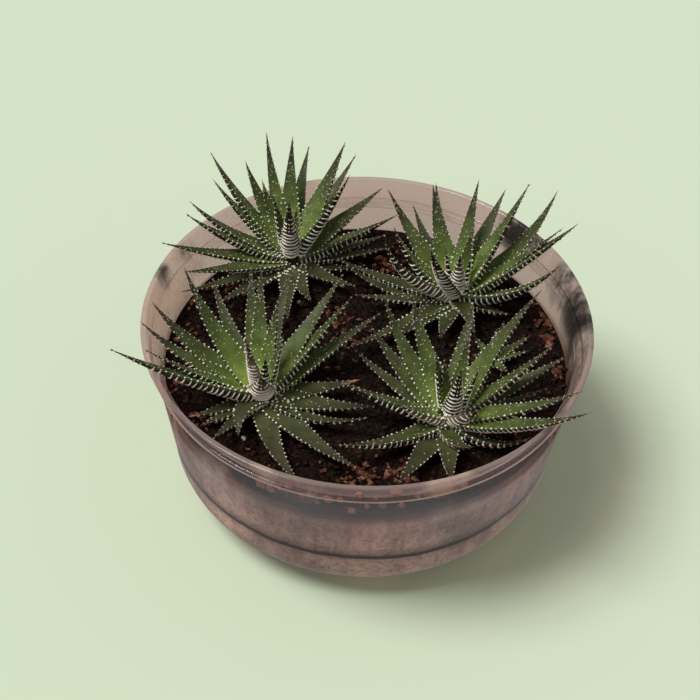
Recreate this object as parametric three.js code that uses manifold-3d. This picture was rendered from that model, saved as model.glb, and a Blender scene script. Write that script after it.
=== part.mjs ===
// Four zebra haworthia plants in a round, translucent bowl, standing on a flat surface.
// Millimetres, +Z up. The origin is the middle of the bowl's underside, on the surface.
import * as THREE from 'three';
import { mergeVertices } from 'three/addons/utils/BufferGeometryUtils.js';
import Module from 'manifold-3d';

const wasm = await Module();
wasm.setup();

// Bowl: a thin round wall on a flat base, with a moulded ring under a flared rim band.
const RIM_RADIUS = 100;
const BOWL_HEIGHT = 90;
const WALL = 2.6;
const BASE_RADIUS = 58;
const SHOULDER_RADIUS = 88.5;
const SHOULDER_HEIGHT = 26;
const RING_HEIGHT = 77;
const RING_BACK_RADIUS = 95.4;
const RING_DEPTH = 1.5;
const RING_WIDTH = 3;
const RING_FACE = [0.9, 2.1];
const BAND_FOOT_OUT = 0.4;
const LIP_ROUND = 0.8;
const BASE_STEPS = 5;
const ROUND_SEGMENTS = 40;

// Fill: drainage gravel, a thin bed of charcoal, a dish of grit, then potting soil.
const GAP = 0.3;
const GRAVEL_TOP = 31.5;
const CHARCOAL_TOP = 34.5;
const GRIT_EDGE_TOP = 60.5;
const GRIT_DISH_TOP = 43;
const GRIT_DISH_RADIUS = 78;
const SOIL_EDGE = 64;
const SOIL_MIDDLE = 65.5;
const SOIL_RINGS = [89, 80, 69, 57, 44, 30, 15];

// Soil lumps: one wave crossed by another, and a slanting one, in radians a millimetre.
const LUMP_HEIGHT = 0.7;
const WAVE_ACROSS = 0.21;
const WAVE_DEEP = 0.17;
const WAVE_SLANT = [0.09, -0.26];
const SLANT_SHARE = 0.6;

// Stems: each stands in a plain hole in the soil.
const STEM_FOOT = 47;
const STEM_SIDES = 10;
const STEM_FOOT_SHARE = 0.7;
const STEM_FOOT_TAPER = 8;
const STEM_TOP_SHARE = 0.4;
const STEM_TOP_TAPER = 7;
const ROOT_SPAN = 8;
const ROOT_OUT = 0.4;

// Leaves: thick, pointed, keeled below, with cross ridges that also notch the edges.
const RING_SPACING = 6.2;
const FEWEST_RINGS = 5;
const KEEL_DEPTH = 0.42;
const RIDGE_RISE = 0.45;
const EDGE_TURN_UP = 0.12;
const FLANK_WIDTH = 0.78;
const FLANK_DEPTH = 0.62;
const TAPER = 1.15;
const FULLNESS = 0.35;
const BASE_WIDTH_SHARE = 0.8;
const WIDEST_AT = 1 / 6;
const RIDGE_FADE_AT = 0.5;

// The youngest leaves stand in the heart, each a golden angle round from the last.
const GOLDEN_ANGLE = 137.5;
const YOUNGEST_LEAVES = 3;
const YOUNGEST_LIFT = 74;
const YOUNGEST_REACH = 29;
const YOUNGEST_WIDTH = 9;
const YOUNGEST_STEP = 4;

// Tiers: the lift of a leaf's line and its upward curl, from the heart down to the soil.
const TIERS = {
  inner: { lift: 76, curl: 5 },
  steep: { lift: 62, curl: 12 },
  upper: { lift: 48, curl: 20 },
  middle: { lift: 32, curl: 20 },
  outer: { lift: 18, curl: 15 },
  low: { lift: 4, curl: 20 },
};

// Sideways sway of a leaf that points straight to the back or the front.
const LEAN = 12;

// A stem row: place, radius and top. A tier's leaf: turn, reach and width, then roll, which
// lifts the edge on the left as it grows out, and bow, its curl beyond the tier's. A leaf that
// bends its own way has a full row: turn, lift, reach, curl, sideways sway, width and roll.
// Angles in degrees, turn from +X towards +Y, lengths in millimetres.
const PLANTS = [
  {
    name: 'rosette_front_left',
    stem: [-44.5, -33, 6.2, 80],
    youngest: 20,
    tiers: {
      inner: [[-115, 38, 9]],
      steep: [[72, 40, 11, -30], [-85, 20, 14]],
      upper: [[142, 62, 14, 0, 15], [93, 54, 11]],
      middle: [
        [-172, 55, 10, 20], [171, 60, 13, 5, 15], [157, 60, 16, 5, 15], [99, 57, 13],
        [52, 62, 13, -5], [40, 56, 15, -30],
      ],
      outer: [[116, 62, 12], [81, 63, 12], [34, 63, 13, -5]],
      low: [
        [172, 34, 11, 20], [-8, 49, 15, -5], [12, 42, 14], [-45, 60, 14], [-138, 32, 12, 15],
        [-150, 33, 11, 10], [-122, 33, 10],
      ],
    },
    bowed: [
      [-172, 27, 69, 5, -20, 16, 28], [-16, 6, 50, 30, 45, 11, -20], [-68, 2, 54, 20, 30, 13, 0],
      [-105, 0, 28, -60, 60, 13, 10],
    ],
  },
  {
    name: 'rosette_front_right',
    stem: [37.5, -42.5, 6.2, 80],
    youngest: -10,
    tiers: {
      inner: [[-81, 37, 10], [61, 37, 9], [150, 31, 9]],
      upper: [[120, 54, 13, -5], [-45, 20, 15, -20]],
      middle: [
        [126, 60, 13, 0, 20], [78, 51, 13], [23, 53, 15, -30], [-28, 70, 14, -5, 10],
        [-160, 27, 14, 20], [-14, 61, 14, -10],
      ],
      outer: [[133, 54, 14, 0, 10], [25, 56, 13], [175, 52, 16, 30]],
      low: [[139, 56, 11], [-89, 37, 14], [-118, 45, 14, -10], [23, 45, 10, -15]],
    },
    bowed: [
      [49, 32, 66, 5, -20, 16, -25], [-153, 9, 55, 30, -15, 15, 25], [-16, 5, 38, 25, 85, 12, -30],
      [-60, 12, 25, 30, 110, 15, -20],
    ],
  },
  {
    name: 'rosette_back_left',
    stem: [-37.5, 57, 6.2, 80],
    youngest: 150,
    tiers: {
      inner: [[-90, 40, 11]],
      steep: [[5, 52, 12, -35]],
      upper: [
        [155, 60, 16, 25], [171, 52, 12, 10], [133, 47, 13], [125, 36, 11], [110, 57, 11],
        [92, 54, 13], [54, 57, 16, -10],
      ],
      middle: [[176, 54, 16, 20, 15], [-172, 55, 14, 15, 10], [83, 54, 13, 0, -10], [55, 57, 11]],
      outer: [[-144, 59, 12], [39, 55, 15], [17, 53, 16, -25]],
      low: [
        [-148, 57, 10], [21, 48, 13, -10], [-70, 32, 12], [-125, 33, 12], [10, 48, 11, -10],
        [-32, 36, 11], [-131, 47, 12], [-88, 43, 12],
      ],
    },
    bowed: [[-161, 21, 64, 20, 5, 13, 5], [-2, 0, 34, 30, 20, 12, -15]],
  },
  {
    name: 'rosette_back_right',
    stem: [41, 35.5, 6.2, 80],
    youngest: 60,
    tiers: {
      inner: [[-94, 29, 9]],
      steep: [[-130, 44, 13]],
      upper: [
        [112, 49, 15], [77, 51, 12], [42, 58, 15, -30], [168, 44, 16, 20, 25],
        [-166, 51, 15, 35, 40],
      ],
      middle: [[132, 56, 15], [63, 54, 14], [18, 56, 10, -15], [15, 63, 16, -25]],
      outer: [[123, 63, 10], [115, 51, 12], [100, 61, 14]],
      low: [
        [161, 61, 14, 15], [-27, 26, 11, -20], [-140, 66, 11, 10], [-104, 30, 12],
        [-174, 47, 12, 10], [-132, 42, 12],
      ],
    },
    bowed: [
      [37, 36, 66, 45, 20, 14, -5], [0, 27, 51, 35, 45, 15, -30], [-75, 5, 29, -50, 0, 12, 0],
      [165, 8, 56, 45, -30, 12, 10],
    ],
  },
  {
    name: 'offset_right',
    stem: [57, -1, 3.6, 75],
    tiers: {
      steep: [[60, 15, 6]],
      middle: [[80, 13, 6], [140, 12, 6], [-150, 12, 6]],
      outer: [[30, 20, 7, -10], [5, 17, 7, -20], [-60, 13, 6]],
    },
  },
];

const degrees = THREE.MathUtils.degToRad;

function finish(colour, roughness, metalness = 0) {
  return new THREE.MeshStandardMaterial({ color: colour, roughness, metalness });
}

// Turns a closed geometry into a solid, leaving out triangles that collapse on the axis.
function solidFrom(geometry) {
  geometry.deleteAttribute('normal');
  geometry.deleteAttribute('uv');
  const merged = mergeVertices(geometry);
  const corners = merged.index.array;
  const kept = [];
  for (let i = 0; i < corners.length; i += 3) {
    const [a, b, c] = corners.slice(i, i + 3);
    if (a !== b && b !== c && c !== a) kept.push(a, b, c);
  }
  return new wasm.Manifold(new wasm.Mesh({
    numProp: 3,
    vertProperties: new Float32Array(merged.attributes.position.array),
    triVerts: new Uint32Array(kept),
  }));
}

// Keeps the largest shell, so that a hollow sealed in among the leaf roots is filled.
function wholeBody(solid) {
  const shells = solid.decompose();
  return shells.reduce((best, next) => (next.volume() > best.volume() ? next : best));
}

function meshFrom(name, solid, material) {
  const { vertProperties, triVerts } = solid.getMesh();
  const geometry = new THREE.BufferGeometry();
  geometry.setAttribute('position', new THREE.BufferAttribute(vertProperties, 3));
  geometry.setIndex(new THREE.BufferAttribute(triVerts, 1));
  const mesh = new THREE.Mesh(geometry, material);
  mesh.name = name;
  return mesh;
}

// A round body from a profile of [radius, height] that starts and ends on the axis.
function turned(profile, segments) {
  const points = profile.map(([radius, height]) => new THREE.Vector2(radius, height));
  return new THREE.LatheGeometry(points, segments).rotateX(Math.PI / 2);
}

// The side of the bowl at a depth inside its outer face: rounded base, then a straight side.
function sideLine(depth) {
  const line = [];
  for (let step = 0; step <= BASE_STEPS; step += 1) {
    const angle = degrees((90 / BASE_STEPS) * step);
    line.push([
      BASE_RADIUS + (SHOULDER_RADIUS - BASE_RADIUS - depth) * Math.sin(angle),
      SHOULDER_HEIGHT - (SHOULDER_HEIGHT - depth) * Math.cos(angle),
    ]);
  }
  line.push([RING_BACK_RADIUS - depth, RING_HEIGHT]);
  return line;
}

function radiusAt(line, height) {
  const next = line.findIndex(([, z]) => z >= height);
  const [r0, z0] = line[next - 1];
  const [r1, z1] = line[next];
  return r0 + ((r1 - r0) * (height - z0)) / (z1 - z0);
}

function bowl() {
  const outer = sideLine(0);
  const inner = sideLine(WALL).reverse();
  const ringFace = RING_BACK_RADIUS + RING_DEPTH;
  const bandFoot = RING_HEIGHT + RING_WIDTH;
  const bandFootRadius = RING_BACK_RADIUS + BAND_FOOT_OUT;
  const profile = [
    [0, 0],
    ...outer,
    ...RING_FACE.map((rise) => [ringFace, RING_HEIGHT + rise]),
    [bandFootRadius, bandFoot],
    [RIM_RADIUS, BOWL_HEIGHT - LIP_ROUND],
    [RIM_RADIUS - LIP_ROUND, BOWL_HEIGHT],
    [RIM_RADIUS - WALL + LIP_ROUND, BOWL_HEIGHT],
    [RIM_RADIUS - WALL, BOWL_HEIGHT - LIP_ROUND],
    [bandFootRadius - WALL, bandFoot],
    ...inner,
    [0, WALL],
  ];
  return meshFrom('bowl', solidFrom(turned(profile, ROUND_SEGMENTS)), finish('#a89088', 0.25));
}

// The stretch of the fill's side between two heights, one gap clear of the wall.
function fillSide(bottom, top) {
  const line = sideLine(WALL + GAP);
  const between = line.filter(([, z]) => z > bottom && z < top);
  return [[radiusAt(line, bottom), bottom], ...between, [radiusAt(line, top), top]];
}

function gravelLayer() {
  const line = sideLine(WALL + GAP);
  const side = fillSide(line[1][1], GRAVEL_TOP).slice(1);
  const profile = [[0, line[0][1]], line[0], line[1], ...side, [0, GRAVEL_TOP]];
  return meshFrom('gravel_layer', solidFrom(turned(profile, ROUND_SEGMENTS)), finish('#8d7a6c', 0.9));
}

function charcoalLayer() {
  const foot = GRAVEL_TOP + GAP;
  const profile = [[0, foot], ...fillSide(foot, CHARCOAL_TOP), [0, CHARCOAL_TOP]];
  return meshFrom('charcoal_layer', solidFrom(turned(profile, ROUND_SEGMENTS)), finish('#2b2524', 0.95));
}

function gritLayer() {
  const foot = CHARCOAL_TOP + GAP;
  const profile = [
    [0, foot],
    ...fillSide(foot, GRIT_EDGE_TOP),
    [GRIT_DISH_RADIUS, GRIT_DISH_TOP],
    [0, GRIT_DISH_TOP],
  ];
  return meshFrom('grit_layer', solidFrom(turned(profile, ROUND_SEGMENTS)), finish('#857471', 0.95));
}

// Height of the soil: lower at the wall, with soft lumps that fade out towards it.
function soilHeight(x, y) {
  const share = Math.min(1, Math.hypot(x, y) / SOIL_RINGS[0]);
  const crossed = Math.sin(WAVE_ACROSS * x) * Math.cos(WAVE_DEEP * y);
  const slanting = SLANT_SHARE * Math.sin(WAVE_SLANT[0] * x + WAVE_SLANT[1] * y);
  const fall = (SOIL_MIDDLE - SOIL_EDGE) * share ** 2;
  return SOIL_MIDDLE - fall + LUMP_HEIGHT * (crossed + slanting) * (1 - share ** 6);
}

function pottingSoil() {
  const foot = GRIT_DISH_TOP + GAP;
  const edgeFoot = GRIT_EDGE_TOP + 2 * GAP;
  const profile = [
    [0, foot],
    [GRIT_DISH_RADIUS - GAP, foot],
    ...fillSide(edgeFoot, SOIL_EDGE),
    ...SOIL_RINGS.map((radius) => [radius, SOIL_MIDDLE]),
    [0, SOIL_MIDDLE],
  ];
  const geometry = turned(profile, ROUND_SEGMENTS);
  const place = geometry.attributes.position;
  for (let i = 0; i < place.count; i += 1) {
    const onTop = place.getZ(i) === Math.fround(SOIL_MIDDLE);
    if (onTop) place.setZ(i, soilHeight(place.getX(i), place.getY(i)));
  }
  const holes = PLANTS.map(({ stem: [x, y, radius] }) => (
    solidFrom(turned([
      [0, STEM_FOOT - GAP],
      [radius + GAP, STEM_FOOT - GAP],
      [radius + GAP, BOWL_HEIGHT],
      [0, BOWL_HEIGHT],
    ], STEM_SIDES).translate(x, y, 0))
  ));
  const soil = holes.reduce((body, hole) => body.subtract(hole), solidFrom(geometry));
  return meshFrom('potting_soil', soil, finish('#2a1d1a', 1));
}

function stem([x, y, radius, top]) {
  const profile = [
    [0, STEM_FOOT],
    [STEM_FOOT_SHARE * radius, STEM_FOOT],
    [radius, STEM_FOOT + STEM_FOOT_TAPER],
    [radius, top - STEM_TOP_TAPER],
    [STEM_TOP_SHARE * radius, top],
    [0, top],
  ];
  return solidFrom(turned(profile, STEM_SIDES).translate(x, y, 0));
}

// One leaf: five-sided rings along an arc, closed by its point. Every second ring is a ridge.
function leaf([stemX, stemY, radius, top], [turn, lift, reach, curl, sway, width, roll]) {
  const heading = degrees(turn);
  const steepness = Math.max(0, lift) / 90;
  const spot = new THREE.Vector3(
    stemX + ROOT_OUT * radius * Math.cos(heading),
    stemY + ROOT_OUT * radius * Math.sin(heading),
    top - ROOT_SPAN * (1 - steepness),
  );
  const rings = Math.max(FEWEST_RINGS, Math.round(reach / RING_SPACING));
  const corners = [];
  for (let ring = 0; ring < rings; ring += 1) {
    const along = ring / rings;
    const rise = degrees(lift + curl * (along - 0.5));
    const bearing = degrees(turn + sway * (along - 0.5));
    const forward = new THREE.Vector3(
      Math.cos(rise) * Math.cos(bearing),
      Math.cos(rise) * Math.sin(bearing),
      Math.sin(rise),
    );
    const across = new THREE.Vector3(-Math.sin(bearing), Math.cos(bearing), 0);
    across.applyAxisAngle(forward, degrees(roll));
    const above = new THREE.Vector3().crossVectors(forward, across);
    const slimmer = (1 - along) ** TAPER * (1 + FULLNESS * along);
    const ridge = ring % 2 === 0 ? 0 : RIDGE_RISE * Math.min(1, slimmer / RIDGE_FADE_AT);
    const swell = BASE_WIDTH_SHARE + (1 - BASE_WIDTH_SHARE) * Math.min(1, along / WIDEST_AT);
    const half = (width / 2) * slimmer * swell + ridge;
    const depth = width * KEEL_DEPTH * slimmer + ridge;
    const section = [
      [half, EDGE_TURN_UP * half],
      [FLANK_WIDTH * half, -FLANK_DEPTH * depth],
      [0, -depth],
      [-FLANK_WIDTH * half, -FLANK_DEPTH * depth],
      [-half, EDGE_TURN_UP * half],
    ];
    for (const [side, up] of section) {
      corners.push(spot.clone().addScaledVector(across, side).addScaledVector(above, up));
    }
    spot.addScaledVector(forward, reach / rings);
  }
  corners.push(spot);
  const sides = 5;
  const tip = corners.length - 1;
  const faces = [];
  for (let side = 0; side < sides; side += 1) {
    const next = (side + 1) % sides;
    for (let ring = 0; ring < rings - 1; ring += 1) {
      const low = ring * sides;
      const high = low + sides;
      faces.push(low + side, high + side, high + next);
      faces.push(low + side, high + next, low + next);
    }
    faces.push(tip - sides + side, tip, tip - sides + next);
    if (side > 0 && side < sides - 1) faces.push(0, side, side + 1);
  }
  const geometry = new THREE.BufferGeometry().setFromPoints(corners);
  geometry.setIndex(faces);
  return solidFrom(geometry);
}

function youngestLeaves(firstTurn) {
  return Array.from({ length: YOUNGEST_LEAVES }, (_, age) => [
    firstTurn + GOLDEN_ANGLE * age,
    YOUNGEST_LIFT + YOUNGEST_STEP * age,
    YOUNGEST_REACH - YOUNGEST_STEP * age,
    0,
    0,
    YOUNGEST_WIDTH - age,
    0,
  ]);
}

// A tier leaf's full row. Its line leans sideways, towards +X, as it grows out.
function tierRow({ lift, curl }, [turn, reach, width, roll = 0, bow = 0]) {
  const sway = -LEAN * Math.sin(degrees(turn));
  return [turn, lift, reach, curl + bow, sway, width, roll];
}

function leafRows({ youngest, tiers, bowed = [] }) {
  const tiered = Object.entries(tiers).flatMap(([tier, leaves]) => (
    leaves.map((row) => tierRow(TIERS[tier], row))
  ));
  const young = youngest === undefined ? [] : youngestLeaves(youngest);
  return [...tiered, ...bowed, ...young];
}

function rosette(plant) {
  const body = leafRows(plant).reduce((grown, row) => grown.add(leaf(plant.stem, row)), stem(plant.stem));
  return meshFrom(plant.name, wholeBody(body), finish('#5c7340', 0.55));
}

const pottedPlants = new THREE.Group();
pottedPlants.add(bowl(), gravelLayer(), charcoalLayer(), gritLayer(), pottingSoil());
for (const plant of PLANTS) pottedPlants.add(rosette(plant));

export default pottedPlants;
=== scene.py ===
import math
import random
from collections import namedtuple

import bmesh
import bpy
from mathutils import Matrix, Vector, noise


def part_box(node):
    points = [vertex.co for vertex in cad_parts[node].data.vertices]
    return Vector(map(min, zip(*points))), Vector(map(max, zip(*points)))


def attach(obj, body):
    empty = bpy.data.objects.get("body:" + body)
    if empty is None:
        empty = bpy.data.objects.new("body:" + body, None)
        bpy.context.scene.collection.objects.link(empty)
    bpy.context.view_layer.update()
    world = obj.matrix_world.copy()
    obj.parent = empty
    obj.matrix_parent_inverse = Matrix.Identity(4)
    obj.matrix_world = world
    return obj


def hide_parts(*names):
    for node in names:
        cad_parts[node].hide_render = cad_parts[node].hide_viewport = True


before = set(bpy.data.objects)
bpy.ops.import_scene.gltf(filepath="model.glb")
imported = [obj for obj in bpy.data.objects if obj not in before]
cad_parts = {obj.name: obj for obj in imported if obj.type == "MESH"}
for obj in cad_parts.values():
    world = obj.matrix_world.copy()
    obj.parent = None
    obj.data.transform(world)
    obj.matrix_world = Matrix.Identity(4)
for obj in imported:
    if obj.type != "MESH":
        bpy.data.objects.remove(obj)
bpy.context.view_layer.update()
scene = bpy.context.scene

# The view: the bowl stands on a plain pale green floor. The camera is an arm's length from
# the rim and looks down on it. A broad lamp high on the left gives the soft shadow on the
# right, and an even pale room fills in the rest.
MM = 0.001
PHOTO_SIDE = 700
FOCAL_PIXELS = 1581
RIM_PIXEL = (366.1, 316.3)
CAMERA_DISTANCE = 700 * MM
LOOK_DOWN = math.radians(43.4)
CAMERA_ROLL = math.radians(2.5)
SENSOR_WIDTH = 36
NEAREST_SEEN = 10 * MM
FLOOR_RADIUS = 4
FLOOR_SIDES = 96
FLOOR_COLOUR = (0.651, 0.745, 0.552, 1)
FLOOR_ROUGHNESS = 0.9
LAMP_FROM = Vector((-0.52, -0.08, 1))
LAMP_SPREAD = math.radians(26)
LAMP_POWER = 2.45
ROOM_POWER = 0.34
ROOM_COLOUR = (1, 1, 0.98, 1)


def begin_material(name):
    """A new node material, its node tree and its Principled node."""
    material = bpy.data.materials.new(name)
    material.use_nodes = True
    tree = material.node_tree
    return material, tree, tree.nodes["Principled BSDF"]


def add_node(tree, kind, inputs=None, **settings):
    """A new node with its settings, and with each named input linked or set."""
    made = tree.nodes.new(kind)
    for key, value in settings.items():
        setattr(made, key, value)
    for key, value in (inputs or {}).items():
        if isinstance(value, bpy.types.NodeSocket):
            tree.links.new(value, made.inputs[key])
        else:
            made.inputs[key].default_value = value
    return made


def mixed_shader(tree, share, first, second):
    """One shader node laid over another by share."""
    return add_node(tree, "ShaderNodeMixShader", {
        0: share, 1: first.outputs[0], 2: second.outputs[0],
    })


def finished(name, bm, material):
    """Makes the bmesh a smooth object of that name and material."""
    for face in bm.faces:
        face.smooth = True
    mesh = bpy.data.meshes.new(name)
    bm.to_mesh(mesh)
    bm.free()
    mesh.materials.append(material)
    piece = bpy.data.objects.new(name, mesh)
    scene.collection.objects.link(piece)
    return piece


bowl_low, bowl_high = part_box("bowl")
rim_centre = Vector((0, 0, bowl_high.z))
camera = bpy.data.objects.new("camera", bpy.data.cameras.new("camera"))
scene.collection.objects.link(camera)
camera.data.sensor_width = SENSOR_WIDTH
camera.data.lens = FOCAL_PIXELS / PHOTO_SIDE * SENSOR_WIDTH
camera.data.clip_start = NEAREST_SEEN
away_from_rim = Vector((0, -math.cos(LOOK_DOWN), math.sin(LOOK_DOWN)))
camera.location = rim_centre + CAMERA_DISTANCE * away_from_rim
camera.rotation_euler = (
    Matrix.Rotation(math.pi / 2 - LOOK_DOWN, 3, "X")
    @ Matrix.Rotation(math.atan2(RIM_PIXEL[0] - PHOTO_SIDE / 2, FOCAL_PIXELS), 3, "Y")
    @ Matrix.Rotation(-math.atan2(PHOTO_SIDE / 2 - RIM_PIXEL[1], FOCAL_PIXELS), 3, "X")
    @ Matrix.Rotation(CAMERA_ROLL, 3, "Z")
).to_euler()
scene.camera = camera
scene.view_settings.view_transform = "Standard"

lamp = bpy.data.objects.new("lamp", bpy.data.lights.new("lamp", "SUN"))
scene.collection.objects.link(lamp)
lamp.data.energy = LAMP_POWER
lamp.data.angle = LAMP_SPREAD
lamp.rotation_euler = LAMP_FROM.to_track_quat("Z", "Y").to_euler()

room = bpy.data.worlds.new("room")
scene.world = room
room.use_nodes = True
fill = room.node_tree.nodes["Background"]
fill.inputs["Color"].default_value = ROOM_COLOUR
fill.inputs["Strength"].default_value = ROOM_POWER
backdrop = add_node(room.node_tree, "ShaderNodeBackground", {"Color": FLOOR_COLOUR, "Strength": 1})
seen = add_node(room.node_tree, "ShaderNodeLightPath").outputs["Is Camera Ray"]
either = mixed_shader(room.node_tree, seen, fill, backdrop)
room.node_tree.links.new(either.outputs[0], room.node_tree.nodes["World Output"].inputs["Surface"])

floor_paint, tree, paint = begin_material("floor_paint")
paint.inputs["Base Color"].default_value = FLOOR_COLOUR
paint.inputs["Roughness"].default_value = FLOOR_ROUGHNESS
paint.inputs["Specular IOR Level"].default_value = 0
bm = bmesh.new()
bmesh.ops.create_circle(bm, cap_ends=True, segments=FLOOR_SIDES, radius=FLOOR_RADIUS)
floor = finished("floor", bm, floor_paint)
floor.visible_diffuse = False
floor.visible_glossy = False

# The bowl: smoky rose glass with a flat foot, a round belly, a moulded ring and a flared band
# above it. Watering has left a mottled film with a dark tide line below the soil. The glass
# above the soil is clear, apart from dark smudges and painted light and shade: a faint
# near-black veil of painted shade between the soil and the ring, a painted highlight along the
# ring, and a pale veil on the band above that is partly the film and partly painted light.
# Pale patches of painted light lie on the wall where light falls on it and through it.
RIM_RADIUS = bowl_high.x
WALL = 2.6 * MM
FOOT_RADIUS = 58 * MM
SHOULDER_RADIUS = 88.5 * MM
SHOULDER_HEIGHT = 26 * MM
RING_HEIGHT = 77 * MM
RING_BACK_RADIUS = 95.4 * MM
RING_DEPTH = 1.5 * MM
RING_WIDTH = 3 * MM
RING_SWEEP = 80
BAND_FOOT_OUT = 0.4 * MM
LIP_ROUND = 0.8 * MM
BELLY_STEPS = 24
ARC_STEPS = 6
ROUND_STEPS = 180
MERGE = 0.001 * MM
ROSE_TINT = (0.86, 0.72, 0.75, 1)
BELOW_SOIL = ((0.62, 1.0), (0.74, 0.0))
TIDE_WAVER = 3.2 * MM
TIDE_NOISE = (60, 5)
# The film's colour and cover, from foot to rim. From 0.70 to 0.845 a faint near-black veil is
# painted shade on the clear glass between the soil and the ring. The pale stop from 0.856 to 0.868
# is a painted highlight along the ring. Above it the pale veil is partly the film and partly
# painted light, paler at the lip.
FILM_AND_PAINTED_LIGHT_COLOURS = (
    (0.00, (0.800, 0.555, 0.440)), (0.30, (0.780, 0.535, 0.425)), (0.344, (0.560, 0.375, 0.295)),
    (0.352, (0.060, 0.034, 0.024)), (0.372, (0.065, 0.038, 0.028)), (0.388, (0.420, 0.280, 0.225)),
    (0.45, (0.760, 0.510, 0.415)), (0.65, (0.740, 0.490, 0.405)), (0.68, (0.420, 0.270, 0.220)),
    (0.70, (0.050, 0.029, 0.024)), (0.845, (0.050, 0.030, 0.026)), (0.856, (0.950, 0.820, 0.780)),
    (0.868, (0.950, 0.820, 0.780)), (0.880, (0.750, 0.590, 0.560)), (1.00, (0.900, 0.740, 0.700)),
)
FILM_AND_PAINTED_LIGHT_COVER = (
    (0.00, 0.92), (0.33, 0.92), (0.36, 0.97), (0.39, 0.90), (0.64, 0.86), (0.680, 0.55),
    (0.695, 0.10), (0.845, 0.08), (0.856, 0.78), (0.868, 0.78), (0.880, 0.22), (0.98, 0.22),
    (1.00, 0.36),
)
FILM_ROUGHNESS = 0.45
FILM_SHINE = 0.3
MOTTLE = ((0.36, (0.60, 0.50, 0.44)), (0.50, (0.96, 0.94, 0.93)), (0.68, (1.20, 1.18, 1.17)))
MOTTLE_NOISE = (480, 6, 0.72)
RUNS = ((0.35, 0.72), (0.6, 1.08))
RUN_NOISE = (150, 4)
RUN_STRETCH = (1, 1, 0.25)
CLOUDS = ((0.35, 0.72), (0.65, 1.3))
CLOUD_NOISE = (26, 2)
BACKLIT_SHARE = ((0.70, 0.3), (0.76, 0.7))
GLOSS_COLOUR = (0.9, 0.9, 0.9, 1)
GLOSS_ROUGHNESS = 0.12
FACE_ON_GLOSS = 0.035
EDGE_ON_GLOSS = 0.30
EDGE_SHARPNESS = 4
PATCH_EDGES = ((0.38, 0.0), (0.55, 1.0))
PATCH_NOISE = (55, 6, 0.65)
PATCH_STRETCH = (1, 1, 0.4)
PATCH_FILL = 2
SMUDGE_COLOUR = (0.040, 0.040, 0.034, 1)
SMUDGE_COVER = 0.82
SMUDGES = (
    ((92, 32, 83), 18), ((96, 16, 84), 22), ((97, -2, 80), 24), ((94, -16, 76), 18),
    ((69, 69, 85), 14), ((78, 58, 88), 10), ((-92, 25, 87), 8), ((-84, 44, 86), 7),
)
# Pale patches of painted light where light falls on and through the wall, each a place and a
# radius in mm.
PAINTED_LIGHT_PATCH_COLOUR = (0.920, 0.730, 0.630, 1)
PAINTED_LIGHT_PATCH_COVER = 0.66
PAINTED_LIGHT_PATCHES = (
    ((-96, 14, 78), 26), ((-90, 34, 74), 24), ((-96, -12, 78), 24), ((-30, -95, 87), 24),
    ((36, -92, 87), 16), ((-62, -70, 56), 22), ((38, -84, 52), 18), ((-27, -78, 14), 15),
)


def turned(profile, steps):
    """Spins (radius, height) points that start and end on the axis into a closed body."""
    bm = bmesh.new()
    corners = [bm.verts.new((radius, 0, height)) for radius, height in profile]
    edges = [bm.edges.new(pair) for pair in zip(corners, corners[1:])]
    bmesh.ops.spin(
        bm, geom=corners + edges, cent=(0, 0, 0), axis=(0, 0, 1), angle=math.tau, steps=steps,
        use_merge=True,
    )
    bmesh.ops.remove_doubles(bm, verts=bm.verts, dist=MERGE)
    bmesh.ops.recalc_face_normals(bm, faces=bm.faces)
    return bm


def arc(centre, radius, first, last, steps):
    """Points on a round stretch of a profile, from one angle to another in degrees."""
    angles = (math.radians(first + (last - first) * step / steps) for step in range(steps + 1))
    return [(centre[0] + radius * math.cos(a), centre[1] + radius * math.sin(a)) for a in angles]


def side_line(depth):
    """The wall at a depth inside its outer face: the round belly, then the straight side."""
    line = []
    for step in range(BELLY_STEPS + 1):
        angle = math.pi / 2 * step / BELLY_STEPS
        line.append((
            FOOT_RADIUS + (SHOULDER_RADIUS - FOOT_RADIUS - depth) * math.sin(angle),
            SHOULDER_HEIGHT - (SHOULDER_HEIGHT - depth) * math.cos(angle),
        ))
    line.append((RING_BACK_RADIUS - depth, RING_HEIGHT))
    return line


def ramp(tree, share, stops):
    """A colour ramp driven by share. A stop is a place and a colour, or a place and a grey."""
    made = add_node(tree, "ShaderNodeValToRGB", {"Fac": share})
    elements = made.color_ramp.elements
    while len(elements) < len(stops):
        elements.new(1)
    for element, (place, colour) in zip(elements, stops):
        element.position = place
        element.color = (*colour, 1) if isinstance(colour, tuple) else (colour, colour, colour, 1)
    return made.outputs["Color"]


def blended(tree, share, first, second, how="MIX"):
    """One colour laid over another by share, in one of the mix node's ways."""
    made = tree.nodes.new("ShaderNodeMix")
    made.data_type = "RGBA"
    made.blend_type = how
    for number, value in ((0, share), (6, first), (7, second)):
        if isinstance(value, bpy.types.NodeSocket):
            tree.links.new(value, made.inputs[number])
        else:
            made.inputs[number].default_value = value
    return made.outputs[2]


def shaded(tree, colour, *shades):
    """A colour multiplied by one shade after another."""
    for shade in shades:
        colour = blended(tree, 1, colour, shade, "MULTIPLY")
    return colour


def math_node(tree, operation, *values, clamp=False):
    """One step of arithmetic on sockets and numbers."""
    return add_node(
        tree, "ShaderNodeMath", dict(enumerate(values)), operation=operation, use_clamp=clamp,
    ).outputs[0]


def object_place(tree):
    """Every point's place on its object, in metres."""
    return add_node(tree, "ShaderNodeTexCoord").outputs["Object"]


def speckle(tree, place, scale, detail=3, roughness=0.55):
    """A noise texture's grey value at a scale in bumps to the metre."""
    return add_node(tree, "ShaderNodeTexNoise", {
        "Vector": place, "Scale": scale, "Detail": detail, "Roughness": roughness,
    }).outputs["Fac"]


def stretched(tree, place, scale):
    """Places scaled along the three axes, which draws a texture out."""
    return add_node(tree, "ShaderNodeMapping", {"Vector": place, "Scale": scale}).outputs[0]


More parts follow.
